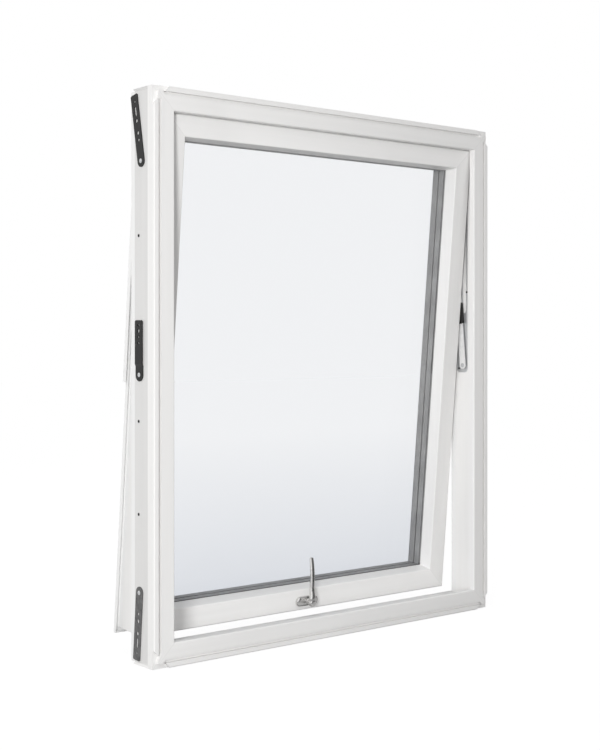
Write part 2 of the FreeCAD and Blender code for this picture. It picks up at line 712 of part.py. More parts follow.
def sash_pieces():
    """Every piece that swings with the sash, shut, by node name."""
    names = {"left": "left_stile", "right": "right_stile", "head": "top_rail", "sill": "bottom_rail"}
    names = {side: "sash_" + name for side, name in names.items()}
    pieces = {name: sash_side(side) for side, name in names.items()}
    pieces.update({name + "_cladding": sash_cladding(side) for side, name in names.items()})
    for number, name in enumerate(("inner", "middle", "outer")):
        pieces[name + "_pane"] = pane(number)
    for number, name in enumerate(("inner", "outer")):
        pieces[name + "_spacer"] = spacer(number)
    pieces["glazing_gasket"] = glazing_gasket()
    pieces["lock_faceplate"] = lock_plate()
    pieces["handle_rosette"] = handle_rosette()
    pieces["handle_lever"] = handle_lever()
    for side in SIDES:
        pieces[side + "_cover_strip"] = on_side(side, cover_strip())
        pieces[side + "_sash_plate"] = on_side(side, sash_plate())
        pieces[side + "_guide_shoe"] = on_side(side, guide_shoe())
    return pieces


def build():
    """All pieces in the opened place, by node name."""
    pieces = frame_pieces()
    pieces.update({name: opened(shape) for name, shape in sash_pieces().items()})
    for side in SIDES:
        pieces[side + "_arm"] = swung(on_side(side, arm()))
        pieces[side + "_brake_block"] = swung(on_side(side, brake_block()))
    return pieces


def main():
    """Writes one file for each piece."""
    os.makedirs("parts", exist_ok=True)
    for name, shape in build().items():
        shape.exportStep(f"parts/{name}.step")


if __name__ == "__main__":
    main()
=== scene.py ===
"""Dressed top hung awning window: paint, coated metal, glass, seals, fasteners, studio and camera."""

import json
import logging
import math
from dataclasses import dataclass, field
from enum import Enum

import bpy
import numpy as np
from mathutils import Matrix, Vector


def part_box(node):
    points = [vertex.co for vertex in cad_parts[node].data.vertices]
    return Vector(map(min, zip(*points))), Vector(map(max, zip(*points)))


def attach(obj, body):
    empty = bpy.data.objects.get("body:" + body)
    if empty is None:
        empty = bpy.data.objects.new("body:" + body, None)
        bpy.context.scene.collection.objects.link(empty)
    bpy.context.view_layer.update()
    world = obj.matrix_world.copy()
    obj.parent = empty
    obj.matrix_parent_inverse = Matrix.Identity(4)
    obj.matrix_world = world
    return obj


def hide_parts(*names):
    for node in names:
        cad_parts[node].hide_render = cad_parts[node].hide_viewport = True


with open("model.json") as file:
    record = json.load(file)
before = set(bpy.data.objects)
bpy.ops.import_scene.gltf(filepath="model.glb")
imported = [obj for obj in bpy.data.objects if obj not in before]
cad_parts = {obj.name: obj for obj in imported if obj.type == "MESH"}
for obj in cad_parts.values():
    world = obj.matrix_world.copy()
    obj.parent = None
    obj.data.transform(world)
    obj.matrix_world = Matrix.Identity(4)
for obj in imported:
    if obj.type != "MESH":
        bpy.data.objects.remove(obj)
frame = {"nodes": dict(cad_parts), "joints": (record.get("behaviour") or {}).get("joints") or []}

LOG = logging.getLogger("window")
MM = 0.001
FULL_TURN = 2.0 * math.pi
CRISP_ANGLE = math.radians(35.0)
UNIT_RANGE = (0.0, 1.0)
Colour = tuple[float, float, float]
Range = tuple[float, float]


class Grain(Enum):
    """Direction in which brush strokes and timber grain run."""

    UPRIGHT = (70.0, 70.0, 2.2)
    LEVEL = (2.2, 70.0, 70.0)


class Side(Enum):
    """Left or right half of the window, seen from the room."""

    LEFT = -1
    RIGHT = 1


class Drive(Enum):
    """Recess in a screw head, given by how many times it repeats round the head."""

    CROSS = 4
    STAR = 6


def grey(value: float) -> Colour:
    """Neutral colour of the given linear value."""
    return (value, value, value)


def even(repeats: float) -> tuple[float, float, float]:
    """Scale with the same repeats to the metre along each axis."""
    return (repeats, repeats, repeats)


class NodeGraph:
    """Nodes and links of one shader tree."""

    def __init__(self, tree: bpy.types.NodeTree) -> None:
        """Takes the tree that holds the nodes."""
        self.tree = tree

    def add(self, kind: str, **values: object) -> bpy.types.Node:
        """Adds a node.

        Args:
            kind: Node type, without its ShaderNode prefix.
            values: Input values by socket name, underscores standing for spaces.

        Returns:
            The new node.
        """
        node = self.tree.nodes.new("ShaderNode" + kind)
        for name, value in values.items():
            node.inputs[name.replace("_", " ")].default_value = value
        return node

    def join(self, source: bpy.types.NodeSocket, target: bpy.types.NodeSocket) -> None:
        """Links an output socket to an input socket."""
        self.tree.links.new(source, target)

    def math(self, operation: str, first: object, second: object = 0.0) -> bpy.types.NodeSocket:
        """One step of arithmetic.

        Args:
            operation: Name of the operation.
            first: Socket or number.
            second: Socket or number.

        Returns:
            The result's socket.
        """
        step = self.add("Math")
        step.operation = operation
        for value, entry in zip((first, second), step.inputs):
            if isinstance(value, bpy.types.NodeSocket):
                self.join(value, entry)
            else:
                entry.default_value = value
        return step.outputs[0]

    def between(self, value: bpy.types.NodeSocket, limits: Range, results: Range) -> bpy.types.Node:
        """Runs a number from the first result to the last as a value goes from one limit to the other.

        Args:
            value: Grey value socket.
            limits: Low and high end of the value.
            results: Number at each end.

        Returns:
            The node, whose Result is the number.
        """
        (low, high), (first, last) = limits, results
        node = self.add("MapRange", From_Min=low, From_Max=high, To_Min=first, To_Max=last)
        self.join(value, node.inputs["Value"])
        return node


class Graph(NodeGraph):
    """Node graph of one material, ending in a principled shader."""

    def __init__(self, name: str) -> None:
        """Starts a material with a bare principled shader.

        Args:
            name: Name of the material.
        """
        self.material = bpy.data.materials.new(name)
        self.material.use_nodes = True
        super().__init__(self.material.node_tree)
        self.tree.nodes.clear()
        self.output = self.tree.nodes.new("ShaderNodeOutputMaterial")
        self.shader = self.tree.nodes.new("ShaderNodeBsdfPrincipled")
        self.join(self.shader.outputs[0], self.output.inputs["Surface"])

    def set(self, **values: object) -> None:
        """Sets plain values on the shader's own sockets."""
        for name, value in values.items():
            self.shader.inputs[name.replace("_", " ")].default_value = value

    def place(self) -> bpy.types.NodeOutputs:
        """Object coordinates of the shaded point.

        Returns:
            Outputs named X, Y and Z.
        """
        parts = self.add("SeparateXYZ")
        self.join(self.add("TexCoord").outputs["Object"], parts.inputs["Vector"])
        return parts.outputs

    def stretched(self, scale: tuple[float, float, float]) -> bpy.types.NodeSocket:
        """Object coordinates multiplied by a scale.

        Args:
            scale: Factor along each axis.

        Returns:
            The vector socket.
        """
        coordinates = self.add("TexCoord")
        mapping = self.add("Mapping")
        mapping.inputs["Scale"].default_value = scale
        self.join(coordinates.outputs["Object"], mapping.inputs["Vector"])
        return mapping.outputs["Vector"]

    def noise(self, scale: tuple[float, float, float], detail: float = 4.0) -> bpy.types.NodeSocket:
        """Fractal noise on stretched object coordinates.

        Args:
            scale: Repeats to the metre along each axis.
            detail: Octaves of the noise.

        Returns:
            The grey value socket.
        """
        texture = self.add("TexNoise", Scale=1.0, Detail=detail, Roughness=0.55)
        self.join(self.stretched(scale), texture.inputs["Vector"])
        return texture.outputs["Fac"]

    def blend(self, factor: bpy.types.NodeSocket, low: Colour, high: Colour) -> bpy.types.NodeSocket:
        """Colour that runs from low to high as the factor goes from 0.3 to 0.7.

        Args:
            factor: Grey value socket.
            low: Linear colour at the low end.
            high: Linear colour at the high end.

        Returns:
            The colour socket.
        """
        ramp = self.add("ValToRGB")
        ramp.color_ramp.elements[0].position = 0.3
        ramp.color_ramp.elements[1].position = 0.7
        ramp.color_ramp.elements[0].color = (*low, 1.0)
        ramp.color_ramp.elements[1].color = (*high, 1.0)
        self.join(factor, ramp.inputs["Fac"])
        return ramp.outputs["Color"]

    def multiply(self, first: bpy.types.NodeSocket, second: bpy.types.NodeSocket) -> bpy.types.NodeSocket:
        """Product of two colours.

        Args:
            first: Colour socket.
            second: Colour socket.

        Returns:
            The product's socket.
        """
        mix = self.add("Mix")
        mix.data_type = "RGBA"
        mix.blend_type = "MULTIPLY"
        mix.inputs[0].default_value = 1.0
        self.join(first, mix.inputs[6])
        self.join(second, mix.inputs[7])
        return mix.outputs[2]

    def spread(self, factor: bpy.types.NodeSocket, low: float, high: float, target: str) -> None:
        """Runs one of the shader's values from low to high with a grey value.

        Args:
            factor: Grey value socket.
            low: Value where the factor is 0.
            high: Value where the factor is 1.
            target: Name of the shader's input.
        """
        reach = self.between(factor, UNIT_RANGE, (low, high))
        self.join(reach.outputs["Result"], self.shader.inputs[target])

    def bump(self, height: bpy.types.NodeSocket, strength: float, depth: float) -> None:
        """Raises the surface with a grey value.

        Args:
            height: Grey value socket.
            strength: Share of the effect, 0 to 1.
            depth: Height of the relief in metres.
        """
        relief = self.add("Bump", Strength=strength, Distance=depth)
        self.join(height, relief.inputs["Height"])
        self.join(relief.outputs["Normal"], self.shader.inputs["Normal"])


@dataclass(frozen=True)
class MitreSeams:
    """Hairline seams on the bisectors of a rectangular ring, which may lean about a level line."""

    half_width: float
    foot: float
    top: float
    lean: float = 0.0
    pivot: tuple[float, float] = (0.0, 0.0)
    width: float = 0.7 * MM

    def mask(self, graph: Graph) -> bpy.types.NodeSocket:
        """Grey value, 1 on a seam and 0 away from it.

        With v the height in the ring's own plane, the seam lies where the half width less |x| equals
        the smaller of v less the foot and the top less v.

        Args:
            graph: Graph that takes the nodes.

        Returns:
            The mask's socket.
        """
        place = graph.place()
        depth = graph.math("SUBTRACT", place["Y"], self.pivot[0])
        rise = graph.math("SUBTRACT", place["Z"], self.pivot[1])
        along = graph.math("MULTIPLY", rise, math.cos(self.lean))
        across = graph.math("MULTIPLY", depth, math.sin(self.lean))
        height = graph.math("ADD", graph.math("SUBTRACT", along, across), self.pivot[1])
        below = graph.math("SUBTRACT", height, self.foot)
        above = graph.math("SUBTRACT", self.top, height)
        level = graph.math("MINIMUM", below, above)
        inset = graph.math("SUBTRACT", self.half_width, graph.math("ABSOLUTE", place["X"]))
        gap = graph.math("ABSOLUTE", graph.math("SUBTRACT", inset, level))
        return graph.math("LESS_THAN", gap, self.width)


@dataclass(frozen=True)
class PaintedTimber:
    """Satin white paint on planed softwood, with faint grain under it and hairline mitres; inside a given
    channel it is darker, partly primer and partly painted shade.
    """

    name: str
    grain: Grain
    seams: MitreSeams
    channel: tuple[float, float] | None = None
    colour: Colour = (0.875, 0.868, 0.858)
    shade: float = 0.965
    patch_shade: float = 0.985
    seam_shade: float = 0.92
    channel_primer_and_shade: float = 0.83
    roughness: float = 0.42
    sheen_swing: float = 0.06
    relief: float = 0.35 * MM
    relief_strength: float = 0.22

    def material(self) -> bpy.types.Material:
        """Builds the material.

        Returns:
            The new material.
        """
        graph = Graph(self.name)
        strokes = graph.noise(self.grain.value, 6.0)
        patches = graph.noise(even(3.0), 3.0)
        dark = tuple(channel * self.shade for channel in self.colour)
        tone = graph.blend(strokes, dark, self.colour)
        wash = graph.blend(patches, grey(self.patch_shade), grey(1.0))
        line = graph.blend(self.seams.mask(graph), grey(1.0), grey(self.seam_shade))
        painted = graph.multiply(graph.multiply(tone, wash), line)
        if self.channel:
            # Inside the outer channel the paint is darker: partly grey primer, partly painted shade of the
            # recess.
            primer_and_painted_shade = graph.blend(self.channel_mask(graph), grey(1.0), grey(self.channel_primer_and_shade))
            painted = graph.multiply(painted, primer_and_painted_shade)
        graph.join(painted, graph.shader.inputs["Base Color"])
        swing = self.sheen_swing
        graph.spread(patches, self.roughness - swing, self.roughness + swing, "Roughness")
        fine = tuple(4.0 * repeats for repeats in self.grain.value)
        graph.bump(graph.noise(fine, 5.0), self.relief_strength, self.relief)
        graph.set(Specular_IOR_Level=0.45)
        return graph.material

    def channel_mask(self, graph: Graph) -> bpy.types.NodeSocket:
        """Grey value, 1 where |x| is past the channel's inner limit and y is past its front edge.

        Args:
            graph: Graph that takes the nodes.

        Returns:
            The mask's socket.
        """
        inner, front = self.channel
        place = graph.place()
        outside = graph.math("GREATER_THAN", graph.math("ABSOLUTE", place["X"]), inner)
        behind = graph.math("GREATER_THAN", place["Y"], front)
        return graph.math("MULTIPLY", outside, behind)


@dataclass(frozen=True)
class PowderCoat:
    """White powder coat on aluminium, with its fine orange peel."""

    name: str
    colour: Colour = (0.86, 0.86, 0.855)
    shade: float = 0.98
    roughness: float = 0.34
    sheen_swing: float = 0.05
    peel_repeats: float = 900.0
    relief: float = 0.12 * MM
    relief_strength: float = 0.18

    def material(self) -> bpy.types.Material:
        """Builds the material.

        Returns:
            The new material.
        """
        graph = Graph(self.name)
        peel = graph.noise(even(self.peel_repeats), 2.0)
        patches = graph.noise(even(5.0), 3.0)
        dark = tuple(channel * self.shade for channel in self.colour)
        graph.join(graph.blend(patches, dark, self.colour), graph.shader.inputs["Base Color"])
        swing = self.sheen_swing
        graph.spread(patches, self.roughness - swing, self.roughness + swing, "Roughness")
        graph.bump(peel, self.relief_strength, self.relief)
        return graph.material


@dataclass(frozen=True)
class PlatedMetal:
    """Bare or plated metal with a drawn grain and small stains."""

    name: str
    colour: Colour
    roughness: float
    grain: tuple[float, float, float] = (900.0, 900.0, 60.0)
    metallic: float = 1.0
    shade: float = 0.86
    stain_repeats: float = 110.0
    sheen_swing: Range = (-0.07, 0.09)
    relief: float = 0.08 * MM
    relief_strength: float = 0.12

    def material(self) -> bpy.types.Material:
        """Builds the material.

        Returns:
            The new material.
        """
        graph = Graph(self.name)
        lines = graph.noise(self.grain, 3.0)
        stains = graph.noise(even(self.stain_repeats), 5.0)
        dark = tuple(channel * self.shade for channel in self.colour)
        tone = graph.blend(stains, dark, self.colour)
        graph.join(tone, graph.shader.inputs["Base Color"])
        low, high = (self.roughness + swing for swing in self.sheen_swing)
        graph.spread(stains, low, high, "Roughness")
        graph.bump(lines, self.relief_strength, self.relief)
        graph.set(Metallic=self.metallic)
        return graph.material


@dataclass(frozen=True)
class Moulding:
    """Matt moulded plastic or rubber with a fine skin, with a painted shade below a height where one is
    given.
    """

    name: str
    colour: Colour
    roughness: float
    skin: float = 1400.0
    painted_shade_below: float | None = None
    painted_shade_factor: float = 0.22
    bloom_repeats: float = 24.0
    bloom_gain: float = 1.35
    bloom_lift: float = 0.004
    sheen_swing: float = 0.06
    relief: float = 0.1 * MM
    relief_strength: float = 0.25

    def material(self) -> bpy.types.Material:
        """Builds the material.

        Returns:
            The new material.
        """
        graph = Graph(self.name)
        skin = graph.noise(even(self.skin), 3.0)
        bloom = graph.noise(even(self.bloom_repeats), 4.0)
        pale = tuple(channel * self.bloom_gain + self.bloom_lift for channel in self.colour)
        tone = graph.blend(bloom, self.colour, pale)
        # Below the given height the colour is darkened: a painted shade at the foot of the piece.
        if self.painted_shade_below is not None:
            below = graph.math("LESS_THAN", graph.place()["Z"], self.painted_shade_below)
            tone = graph.multiply(tone, graph.blend(below, grey(1.0), grey(self.painted_shade_factor)))
        graph.join(tone, graph.shader.inputs["Base Color"])
        swing = self.sheen_swing
        graph.spread(bloom, self.roughness - swing, self.roughness + swing, "Roughness")
        graph.bump(skin, self.relief_strength, self.relief)
        return graph.material


@dataclass(frozen=True)
class FloatGlass:
    """Clear float glass whose tint deepens towards the foot of the sheet, a painted shade."""

    name: str
    head_tint: Colour
    foot_tint_and_shade: Colour
    foot: float
    head: float
    index: float = 1.12

    def material(self) -> bpy.types.Material:
        """Builds the material.

        Returns:
            The new material.
        """
        graph = Graph(self.name)
        # The tint runs from the head colour down to a darker foot colour: painted shade low on the sheet.
        height = graph.between(graph.place()["Z"], (self.foot, self.head), UNIT_RANGE)
        ramp = graph.add("ValToRGB")
        ramp.color_ramp.elements[0].color = (*self.foot_tint_and_shade, 1.0)
        ramp.color_ramp.elements[1].color = (*self.head_tint, 1.0)
        graph.join(height.outputs["Result"], ramp.inputs["Fac"])
        graph.join(ramp.outputs["Color"], graph.shader.inputs["Base Color"])
        graph.set(Transmission_Weight=1.0, Roughness=0.0, IOR=self.index)
        sheer = graph.add("BsdfTransparent")
        graph.join(ramp.outputs["Color"], sheer.inputs["Color"])
        rays = graph.add("LightPath").outputs
        mix = graph.add("MixShader")
        graph.join(graph.math("MAXIMUM", rays["Is Shadow Ray"], rays["Is Diffuse Ray"]), mix.inputs[0])
        graph.join(graph.shader.outputs[0], mix.inputs[1])
        graph.join(sheer.outputs[0], mix.inputs[2])
        graph.join(mix.outputs[0], graph.output.inputs["Surface"])
        return graph.material


@dataclass(frozen=True)
class PaleFloor:
    """Pale floor: white to the camera but for a soft shadow, dim as bounced light, shaded in metal.

    Right of the mirror limit, mirrored rays see the floor darkened by the mirror shade.
    """

    name: str
    pale: Range = (0.93, 0.95)
    glow_share: float = 0.86
    bounce_shade: float = 0.3
    mirror_shade: float = 0.12
    mirror_limit: float = 0.03
    glow: float = 1.056

    def material(self) -> bpy.types.Material:
        """Builds the material.

        Returns:
            The new material.
        """
        graph = Graph(self.name)
        rays = graph.add("LightPath").outputs
        direct = graph.math("MAXIMUM", rays["Is Camera Ray"], rays["Is Transmission Ray"])
        mirrored = graph.math("MULTIPLY", rays["Is Glossy Ray"], graph.math("SUBTRACT", 1.0, direct))
        speckle = graph.noise(even(2.0), 3.0)
        pale = graph.blend(speckle, *(grey(value) for value in self.pale))
        right = graph.math("GREATER_THAN", graph.place()["X"], self.mirror_limit)
        shade = graph.blend(graph.math("MULTIPLY", mirrored, right), grey(1.0), grey(self.mirror_shade))
        bounce = graph.blend(rays["Is Diffuse Ray"], grey(1.0), grey(self.bounce_shade))
        colour = graph.multiply(graph.multiply(pale, shade), bounce)
        graph.join(colour, graph.shader.inputs["Base Color"])
        graph.set(Roughness=0.9, Specular_IOR_Level=0.1)
        glow = graph.add("Emission", Strength=self.glow)
        glow.inputs["Color"].default_value = (1.0, 1.0, 1.0, 1.0)
        share = graph.math("MULTIPLY", direct, self.glow_share)
        mix = graph.add("MixShader")
        graph.join(share, mix.inputs[0])
        graph.join(graph.shader.outputs[0], mix.inputs[1])
        graph.join(glow.outputs[0], mix.inputs[2])
        graph.join(mix.outputs[0], graph.output.inputs["Surface"])
        return graph.material


@dataclass(frozen=True)
class Local:
    """Place on the window: an origin and three unit directions in the shared frame."""

    origin: np.ndarray
    across: np.ndarray
    up: np.ndarray
    out: np.ndarray

    def world(self, points: np.ndarray) -> np.ndarray:
        """Turns points given along across, up and out into the shared frame.

        Args:
            points: Array whose last axis holds the three local values in metres.

        Returns:
            Array of the same shape in the shared frame.
        """
        axes = np.stack((self.across, self.up, self.out))
        return self.origin + points @ axes


def grid_piece(name: str, points: np.ndarray, closed: bool, capped: bool) -> bpy.types.Object:
    """Mesh over a grid of points, its rows closed rings.

    Each quad joins (i, j), (i, j + 1), (i + 1, j + 1) and (i + 1, j), with j taken round the ring.

    Args:
        name: Name of the piece.
        points: Array of rows by ring points by three.
        closed: Whether the last row joins the first.
        capped: Whether the first and last rows are filled.

    Returns:
        The new object, at the origin.
    """
    rows, ring = points.shape[:2]
    index = np.arange(rows * ring).reshape(rows, ring)
    here = index if closed else index[:-1]
    after = np.roll(index, -1, axis=0) if closed else index[1:]
    quads = np.stack((here, np.roll(here, -1, axis=1), np.roll(after, -1, axis=1), after), axis=-1)
    faces = quads.reshape(-1, 4).tolist()
    if capped:
        faces += [index[0, ::-1].tolist(), index[-1].tolist()]
    mesh = bpy.data.meshes.new(name)
    mesh.from_pydata(points.reshape(-1, 3), [], faces)
    mesh.validate()
    piece = bpy.data.objects.new(name, mesh)
    bpy.context.scene.collection.objects.link(piece)
    return piece


def face_outwards(piece: bpy.types.Object) -> None:
    """Turns every face of a closed piece outwards, and shades it smooth with crisp edges.

    The signed volume, a sixth of the sum of a . (b x c) over the triangles, is below nought where the
    faces look inwards.

    Args:
        piece: Closed piece whose faces all wind the same way.
    """
    mesh = piece.data
    mesh.calc_loop_triangles()
    points = np.empty(3 * len(mesh.vertices), np.float32)
    corners = np.empty(3 * len(mesh.loop_triangles), np.int32)
    mesh.vertices.foreach_get("co", points)
    mesh.loop_triangles.foreach_get("vertices", corners)
    placed = points.reshape(-1, 3).astype(float)
    placed -= placed.mean(axis=0)
    a, b, c = placed[corners.reshape(-1, 3)].transpose(1, 0, 2)
    if np.sum(a * np.cross(b, c)) < 0.0:
        mesh.flip_normals()
    mesh.polygons.foreach_set("use_smooth", np.ones(len(mesh.polygons), bool))
    mesh.set_sharp_from_angle(angle=CRISP_ANGLE)
    mesh.update()


def turned(name: str, place: Local, profile: np.ndarray, segments: int = 48) -> bpy.types.Object:
    """Surface of revolution about a place's out direction.

    A profile point (r, h) becomes r cos(u) across + r sin(u) up + h out, for u round the full turn.

    Args:
        name: Name of the piece.
        place: Where the axis starts and points.
        profile: Array of (radius, height) rows in metres, from the foot to the crown.
        segments: Points round the ring.

    Returns:
        The new closed piece.
    """
    angle = np.linspace(0.0, FULL_TURN, segments, endpoint=False)
    radius, height = profile[:, :1], profile[:, 1:]
    local = np.stack((radius * np.cos(angle), radius * np.sin(angle), height + 0.0 * angle), axis=-1)
    piece = grid_piece(name, place.world(local), closed=False, capped=True)
    face_outwards(piece)
    return piece


def smooth_curve(knots: np.ndarray, count: int) -> np.ndarray:
    """Catmull-Rom curve through knots, evenly spaced in its parameter.

    Between knots b and c, with neighbours a and d, the point at t is
    ((-t + 2t^2 - t^3) a + (2 - 5t^2 + 3t^3) b + (t + 4t^2 - 3t^3) c + (t^3 - t^2) d) / 2.

    Args:
        knots: Array of knots by values.
        count: Number of points wanted.

    Returns:
        Array of count by values.
    """
    padded = np.concatenate((2 * knots[:1] - knots[1:2], knots, 2 * knots[-1:] - knots[-2:-1]))
    along = np.linspace(0.0, len(knots) - 1, count)
    span = np.minimum(along.astype(int), len(knots) - 2)
    t = (along - span)[:, None]
    a, b, c, d = (padded[span + step] for step in range(4))
    early = (-t + 2 * t**2 - t**3) * a + (2 - 5 * t**2 + 3 * t**3) * b
    late = (t + 4 * t**2 - 3 * t**3) * c + (t**3 - t**2) * d
    return (early + late) / 2


def ring_bead(name: str, corner: Local, width: float, height: float, profile: np.ndarray) -> bpy.types.Object:
    """Profile carried round a rectangle with mitred corners.

    At each corner of the rectangle a profile point (inset, rise) moves by inset towards the middle
    along both sides and by rise along the out direction.

    Args:
        name: Name of the piece.
        corner: Lower left corner of the rectangle, with its directions.
        width: Length of the rectangle across.
        height: Length of the rectangle upwards.
        profile: Array of (inset, rise) rows in metres, round the section.

    Returns:
        The new closed piece.
    """
    signs = np.array(((1, 1), (-1, 1), (-1, -1), (1, -1)), float)[:, None, :]
    corners = np.array(((0, 0), (width, 0), (width, height), (0, height)))[:, None, :]
    flat = corners + signs * profile[None, :, :1]
    rise = np.broadcast_to(profile[None, :, 1:], flat.shape[:2] + (1,))
    piece = grid_piece(name, corner.world(np.concatenate((flat, rise), axis=-1)), closed=True, capped=False)
    face_outwards(piece)
    return piece


def joint_named(name: str) -> dict:
    """The record's joint of the given name."""
    return next(joint for joint in frame["joints"] if joint["name"] == name)


def dress(piece: bpy.types.Object, material: bpy.types.Material) -> None:
    """Gives a piece one material, and reports it.

    Args:
        piece: Node or new piece.
        material: Its only material.
    """
    piece.data.materials.clear()
    piece.data.materials.append(material)
    LOG.info("piece %s in %s", piece.name, material.name)


def mount_piece(piece: bpy.types.Object, body: str, material: bpy.types.Material) -> None:
    """Sets a new piece on a body with its finish.

    Args:
        piece: The new piece.
        body: Name of the body that it rides on.
        material: Its material.
    """
    dress(piece, material)
    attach(piece, body)


def dome_profile(radius: float, height: float, foot: float = 0.0, steps: int = 8) -> np.ndarray:
    """Section of a domed head: a short rim, then r cos(a) and h sin(a) up to a small flat crown.

    The angle a stops a little short of a quarter turn, which leaves the crown.

    Args:
        radius: Radius of the rim.
        height: Height of the dome above the rim.
        foot: Height of the rim, which also reaches that far below the surface.
        steps: Points on the curve.

    Returns:
        Array of (radius, height) rows.
    """
    crown_angle = 0.47 * math.pi
    angle = np.linspace(0.0, crown_angle, steps)
    dome = np.stack((radius * np.cos(angle), foot + height * np.sin(angle)), axis=-1)
    return np.concatenate((np.array(((radius, -foot),)), dome))


@dataclass(frozen=True)
class ScrewHead:
    """Pan screw head with a recess. All sizes but the radius are shares of it."""

    radius: float
    drive: Drive
    crown: float = 0.42
    curve: float = 0.92
    tip: float = 0.03
    slot_reach: float = 0.62
    slot_edge: float = 0.12
    core_reach: float = 0.22
    core_edge: float = 0.06
    recess: float = 0.34
    segments: int = 48
    rings: int = 14

    def build(self, name: str, place: Local) -> bpy.types.Object:
        """Builds the head as a dome of revolution.

        Near the axis its height drops by a depth that follows cos(n u / 2)^8 round the head, n being the
        number of repeats, so that the drive's slots stand open.

        Args:
            name: Name of the piece.
            place: Seat of the head, with out along the screw.

        Returns:
            The new closed piece.
        """
        radius = self.radius
        angle = np.linspace(0.0, FULL_TURN, self.segments, endpoint=False)[None, :]
        share = np.linspace(1.0, self.tip, self.rings)[:, None]
        dome = self.crown * radius * np.sqrt(np.clip(1.0 - (self.curve * share) ** 2, 0.0, 1.0))
        slot = np.abs(np.cos(self.drive.value * angle / 2.0)) ** 8
        reach = np.clip((self.slot_reach - share) / self.slot_edge, 0.0, 1.0)
        core = np.clip((self.core_reach - share) / self.core_edge, 0.0, 1.0)
        height = dome - self.recess * radius * np.maximum(reach * slot, core)
        local = np.stack((share * radius * np.cos(angle), share * radius * np.sin(angle), height), axis=-1)
        foot = np.stack((radius * np.cos(angle), radius * np.sin(angle), 0.0 * angle), axis=-1)
        piece = grid_piece(name, place.world(np.concatenate((foot, local))), closed=False, capped=True)
        face_outwards(piece)
        return piece


@dataclass
class Finishes:
    """Every material of the window, made once.

    sash_reach runs along the sash from its pin down to its foot and up to its top. The last field is the
    height above their own foot up to which spacers and glazing seals carry a painted shade.
    """

    jamb_paint: bpy.types.Material = field(init=False)
    rail_paint: bpy.types.Material = field(init=False)
    sash_stile_paint: bpy.types.Material = field(init=False)
    sash_rail_paint: bpy.types.Material = field(init=False)
    coat: bpy.types.Material = field(init=False)
    glass: bpy.types.Material = field(init=False)
    tinted_glass: bpy.types.Material = field(init=False)
    spacer: bpy.types.Material = field(init=False)
    rubber: bpy.types.Material = field(init=False)
    plastic: bpy.types.Material = field(init=False)
    nickel: bpy.types.Material = field(init=False)
    zinc: bpy.types.Material = field(init=False)
    dark_steel: bpy.types.Material = field(init=False)
    grey_steel: bpy.types.Material = field(init=False)
    bright_zinc: bpy.types.Material = field(init=False)
    grey_seal: bpy.types.Material = field(init=False)
    sash_reach: tuple[float, float] = (0.82725, 0.27675)
    channel_depth: float = 4.0 * MM
    channel_start: float = 26.0 * MM
    shade_height_share: float = 0.36
    channel_margin: float = 0.5 * MM
    painted_shade_height: float = 12.0 * MM

    def __post_init__(self) -> None:
        """Builds the materials."""
        low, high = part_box("inner_pane")
        clear = grey(0.995)
        frame_seams, sash_seams = self.seams()
        jamb_low, jamb_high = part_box("right_jamb")
        channel = (jamb_high.x - self.channel_depth - self.channel_margin, jamb_low.y + self.channel_start)
        self.jamb_paint = PaintedTimber("jamb_paint", Grain.UPRIGHT, frame_seams, channel).material()
        self.rail_paint = PaintedTimber("head_and_sill_paint", Grain.LEVEL, frame_seams).material()
        self.sash_stile_paint = PaintedTimber("sash_stile_paint", Grain.UPRIGHT, sash_seams).material()
        # The sash rails get a lighter copy of the sash paint: painted light that brightens the rails.
        rail_paint = PaintedTimber("sash_rail_paint", Grain.LEVEL, sash_seams, colour=(0.925, 0.918, 0.908))
        self.sash_rail_paint = rail_paint.material()
        self.coat = PowderCoat("white_powder_coat").material()
        self.glass = FloatGlass("clear_glass", clear, clear, low.z, high.z).material()
        # The outer pane darkens towards its foot: painted shade over the glass's own cool tint.
        tints_and_shade = ((0.885, 0.895, 0.912), (0.70, 0.722, 0.765))
        shade_fade_top = low.z + self.shade_height_share * (high.z - low.z)
        self.tinted_glass = FloatGlass("cool_glass", *tints_and_shade, low.z, shade_fade_top).material()
        # Spacers darken near their foot: a painted shade, not their own colour.
        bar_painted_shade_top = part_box("inner_spacer")[0].z + self.painted_shade_height
        self.spacer = Moulding("spacer_bar", grey(0.26), 0.5, painted_shade_below=bar_painted_shade_top).material()
        self.rubber = Moulding("seal_rubber", grey(0.11), 0.62).material()
        self.plastic = Moulding("black_plastic", grey(0.012), 0.45).material()
        self.nickel = PlatedMetal("satin_nickel", (0.84, 0.83, 0.82), 0.19, even(700.0)).material()
        self.zinc = PlatedMetal("zinc_plate", (0.66, 0.67, 0.68), 0.34, shade=0.93, metallic=0.7).material()
        self.bright_zinc = PlatedMetal("bright_zinc", grey(0.94), 0.30, shade=0.95, metallic=0.6).material()
        # The glazing seal, too, gets a painted shade near its foot.
        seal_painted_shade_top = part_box("glazing_gasket")[0].z + self.painted_shade_height
        self.grey_seal = Moulding("glazing_seal", grey(0.24), 0.55, painted_shade_below=seal_painted_shade_top).material()
        dark_steel = PlatedMetal("dark_strap_steel", grey(0.018), 0.42, metallic=0.5, shade=0.7)
        grey_steel = PlatedMetal("grey_strap_steel", grey(0.17), 0.40, metallic=0.6, shade=0.5)
        self.dark_steel, self.grey_steel = dark_steel.material(), grey_steel.material()

    def seams(self) -> tuple[MitreSeams, MitreSeams]:
        """Mitre seams, read from the nodes and the handle's axis.

        Returns:
            Seams of the frame and of the leaning sash.
        """
        jamb_low, jamb_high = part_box("right_jamb")
        lean = math.asin(-joint_named("handle_turn")["axis"][2])
        stile_low, stile_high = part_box("sash_right_stile")
        pin = joint_named("sash_swing")["pos_m"]
        reach = self.sash_reach
        fixed = MitreSeams(jamb_high.x, jamb_low.z, jamb_high.z)
        moving = MitreSeams(stile_high.x, pin[2] - reach[0], pin[2] + reach[1], lean, tuple(pin[1:]))
        return fixed, moving


